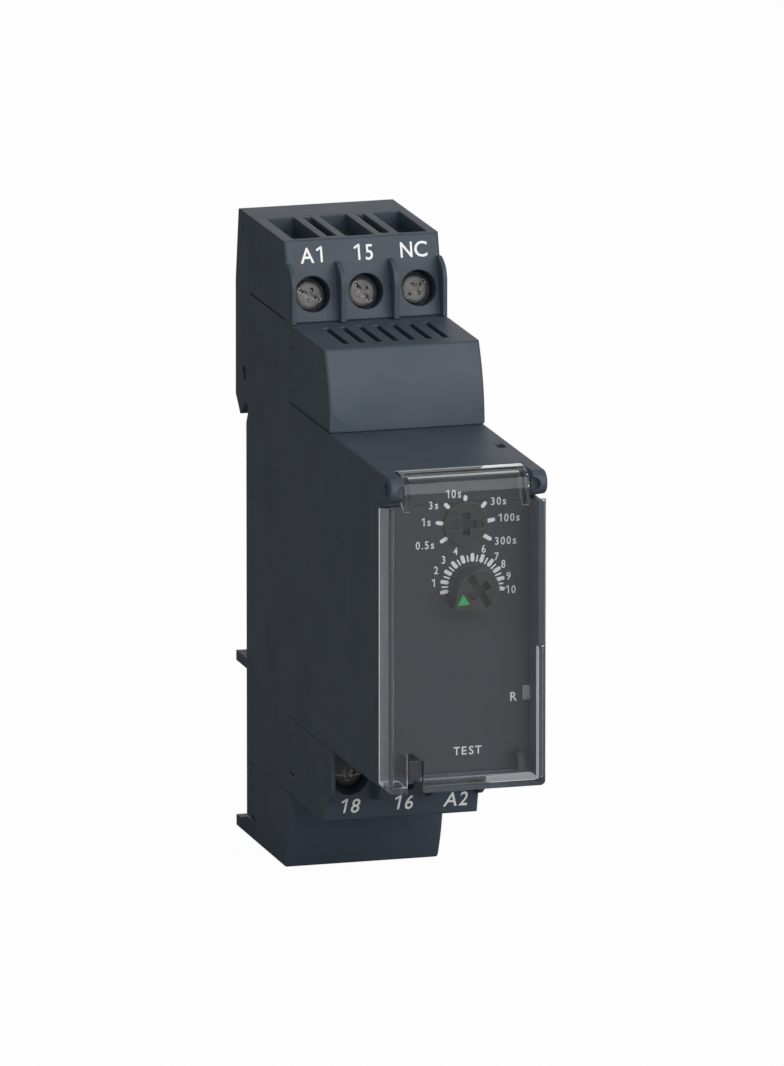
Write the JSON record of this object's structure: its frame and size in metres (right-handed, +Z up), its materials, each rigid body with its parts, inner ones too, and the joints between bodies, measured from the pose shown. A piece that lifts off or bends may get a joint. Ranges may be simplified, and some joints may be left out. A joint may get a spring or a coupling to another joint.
{
  "type": "timer relay",
  "caption": "Narrow rail-mounted star-delta timer relay with stepped case, screw terminals, two dials and a hinged clear cover.",
  "frame": {"origin": "on the rail seat plane, at the rail's centre line and mid width", "axes": "+X across the width, -Y towards the operator, +Y towards the rail, +Z up"},
  "size_m": [0.0226, 0.0795, 0.09],
  "materials": {
    "case_plastic": "fine spark-eroded moulded polyamide",
    "panel_plastic": "fine spark-eroded moulded polycarbonate",
    "clear_plastic": "clear moulded polycarbonate, smoky tint",
    "window_plastic": "grey translucent moulded acrylic",
    "dial_plastic": "moulded black polyamide",
    "clip_plastic": "moulded polyamide",
    "screw_steel": "zinc-plated cold-headed steel",
    "cage_steel": "zinc-plated pressed steel",
    "spring_steel": "drawn spring steel",
    "contact_brass": "stamped tinned brass",
    "board_laminate": "green solder-masked glass-fibre laminate",
    "component_plastic": "moulded epoxy",
    "can_aluminium": "drawn aluminium can",
    "disc_coating": "dipped epoxy coating",
    "relay_iron": "nickel-plated pressed iron",
    "coil_tape": "polyester coil tape",
    "lamp_resin": "cast epoxy lens"
  },
  "bodies": {
    "housing": {"main_housing": "case_plastic", "upper_terminal_block": "case_plastic", "lower_terminal_block": "case_plastic", "vent_cap": "case_plastic", "lower_blank_cap": "case_plastic", "front_panel": "panel_plastic", "light_window": "window_plastic", "clip_spring": "spring_steel", "main_board": "board_laminate", "front_board": "board_laminate", "upper_link_board": "board_laminate", "lower_link_board": "board_laminate", "range_switch_body": "component_plastic", "time_pot_body": "component_plastic", "status_lamp": "lamp_resin", "supply_capacitor": "can_aluminium", "timing_capacitor": "can_aluminium", "timer_chip": "component_plastic", "surge_disc": "disc_coating", "relay_base": "component_plastic", "relay_yoke": "relay_iron", "relay_coil": "coil_tape", "relay_core": "relay_iron", "relay_closing_contact": "contact_brass", "relay_opening_contact": "contact_brass", "contact_bar_a1": "contact_brass", "contact_bar_15": "contact_brass", "contact_bar_nc": "contact_brass", "contact_bar_18": "contact_brass", "contact_bar_16": "contact_brass", "contact_bar_a2": "contact_brass"},
    "cover": {"clear_cover": "clear_plastic"},
    "range_dial": {"range_knob": "dial_plastic"},
    "time_dial": {"time_knob": "dial_plastic"},
    "clip": {"rail_clip": "clip_plastic"},
    "armature": {"relay_armature": "relay_iron"},
    "screw_a1": {"terminal_screw_a1": "screw_steel"},
    "cage_a1": {"clamp_cage_a1": "cage_steel"},
    "screw_15": {"terminal_screw_15": "screw_steel"},
    "cage_15": {"clamp_cage_15": "cage_steel"},
    "screw_nc": {"terminal_screw_nc": "screw_steel"},
    "cage_nc": {"clamp_cage_nc": "cage_steel"},
    "screw_18": {"terminal_screw_18": "screw_steel"},
    "cage_18": {"clamp_cage_18": "cage_steel"},
    "screw_16": {"terminal_screw_16": "screw_steel"},
    "cage_16": {"clamp_cage_16": "cage_steel"},
    "screw_a2": {"terminal_screw_a2": "screw_steel"},
    "cage_a2": {"clamp_cage_a2": "cage_steel"}
  },
  "joints": [
    {"name": "cover_hinge", "type": "hinge", "parent": "housing", "child": "cover", "pos_m": [0, -0.0716, 0.0208], "axis": [-1, 0, 0], "range_deg": [0, 105]},
    {"name": "range_turn", "type": "hinge", "parent": "housing", "child": "range_dial", "pos_m": [0.0011, -0.068, 0.01455], "axis": [0, 1, 0], "range_deg": [-120, 120]},
    {"name": "time_turn", "type": "hinge", "parent": "housing", "child": "time_dial", "pos_m": [0.00214, -0.068, 0.0056], "axis": [0, 1, 0], "range_deg": [0, 247]},
    {"name": "clip_slide", "type": "slide", "parent": "housing", "child": "clip", "axis": [0, 0, -1], "range_m": [0, 0.003], "stiffness_N_per_m": 800, "springref_m": -0.003, "deforming": ["clip_spring"]},
    {"name": "armature_rock", "type": "hinge", "parent": "housing", "child": "armature", "pos_m": [-0.00725, -0.034, -0.0084], "axis": [0, 0, -1], "range_deg": [0, 1.5], "stiffness_Nm_per_rad": 0.02, "springref_deg": -2.86},
    {"name": "screw_turn_a1", "type": "hinge", "parent": "housing", "child": "screw_a1", "pos_m": [-0.0076, -0.0217, 0.03765], "axis": [0, 0.9655, -0.2605], "range_deg": [0, 1300]},
    {"name": "cage_slide_a1", "type": "slide", "parent": "housing", "child": "cage_a1", "axis": [0, -0.9655, 0.2605], "range_m": [0, 0.0018]},
    {"name": "screw_turn_15", "type": "hinge", "parent": "housing", "child": "screw_15", "pos_m": [0.0001, -0.0217, 0.03765], "axis": [0, 0.9655, -0.2605], "range_deg": [0, 1300]},
    {"name": "cage_slide_15", "type": "slide", "parent": "housing", "child": "cage_15", "axis": [0, -0.9655, 0.2605], "range_m": [0, 0.0018]},
    {"name": "screw_turn_nc", "type": "hinge", "parent": "housing", "child": "screw_nc", "pos_m": [0.0078, -0.0217, 0.03765], "axis": [0, 0.9655, -0.2605], "range_deg": [0, 1300]},
    {"name": "cage_slide_nc", "type": "slide", "parent": "housing", "child": "cage_nc", "axis": [0, -0.9655, 0.2605], "range_m": [0, 0.0018]},
    {"name": "screw_turn_18", "type": "hinge", "parent": "housing", "child": "screw_18", "pos_m": [-0.0076, -0.04121, -0.02745], "axis": [0, 0.9655, 0.2605], "range_deg": [0, 1300]},
    {"name": "cage_slide_18", "type": "slide", "parent": "housing", "child": "cage_18", "axis": [0, -0.9655, -0.2605], "range_m": [0, 0.0018]},
    {"name": "screw_turn_16", "type": "hinge", "parent": "housing", "child": "screw_16", "pos_m": [0.0001, -0.04121, -0.02745], "axis": [0, 0.9655, 0.2605], "range_deg": [0, 1300]},
    {"name": "cage_slide_16", "type": "slide", "parent": "housing", "child": "cage_16", "axis": [0, -0.9655, -0.2605], "range_m": [0, 0.0018]},
    {"name": "screw_turn_a2", "type": "hinge", "parent": "housing", "child": "screw_a2", "pos_m": [0.0078, -0.04121, -0.02745], "axis": [0, 0.9655, 0.2605], "range_deg": [0, 1300]},
    {"name": "cage_slide_a2", "type": "slide", "parent": "housing", "child": "cage_a2", "axis": [0, -0.9655, -0.2605], "range_m": [0, 0.0018]}
  ],
  "couplings": [
    {"joint": "screw_turn_a1", "follows": "cage_slide_a1", "rad_per_m": 12566},
    {"joint": "screw_turn_15", "follows": "cage_slide_15", "rad_per_m": 12566},
    {"joint": "screw_turn_nc", "follows": "cage_slide_nc", "rad_per_m": 12566},
    {"joint": "screw_turn_18", "follows": "cage_slide_18", "rad_per_m": 12566},
    {"joint": "screw_turn_16", "follows": "cage_slide_16", "rad_per_m": 12566},
    {"joint": "screw_turn_a2", "follows": "cage_slide_a2", "rad_per_m": 12566}
  ]
}
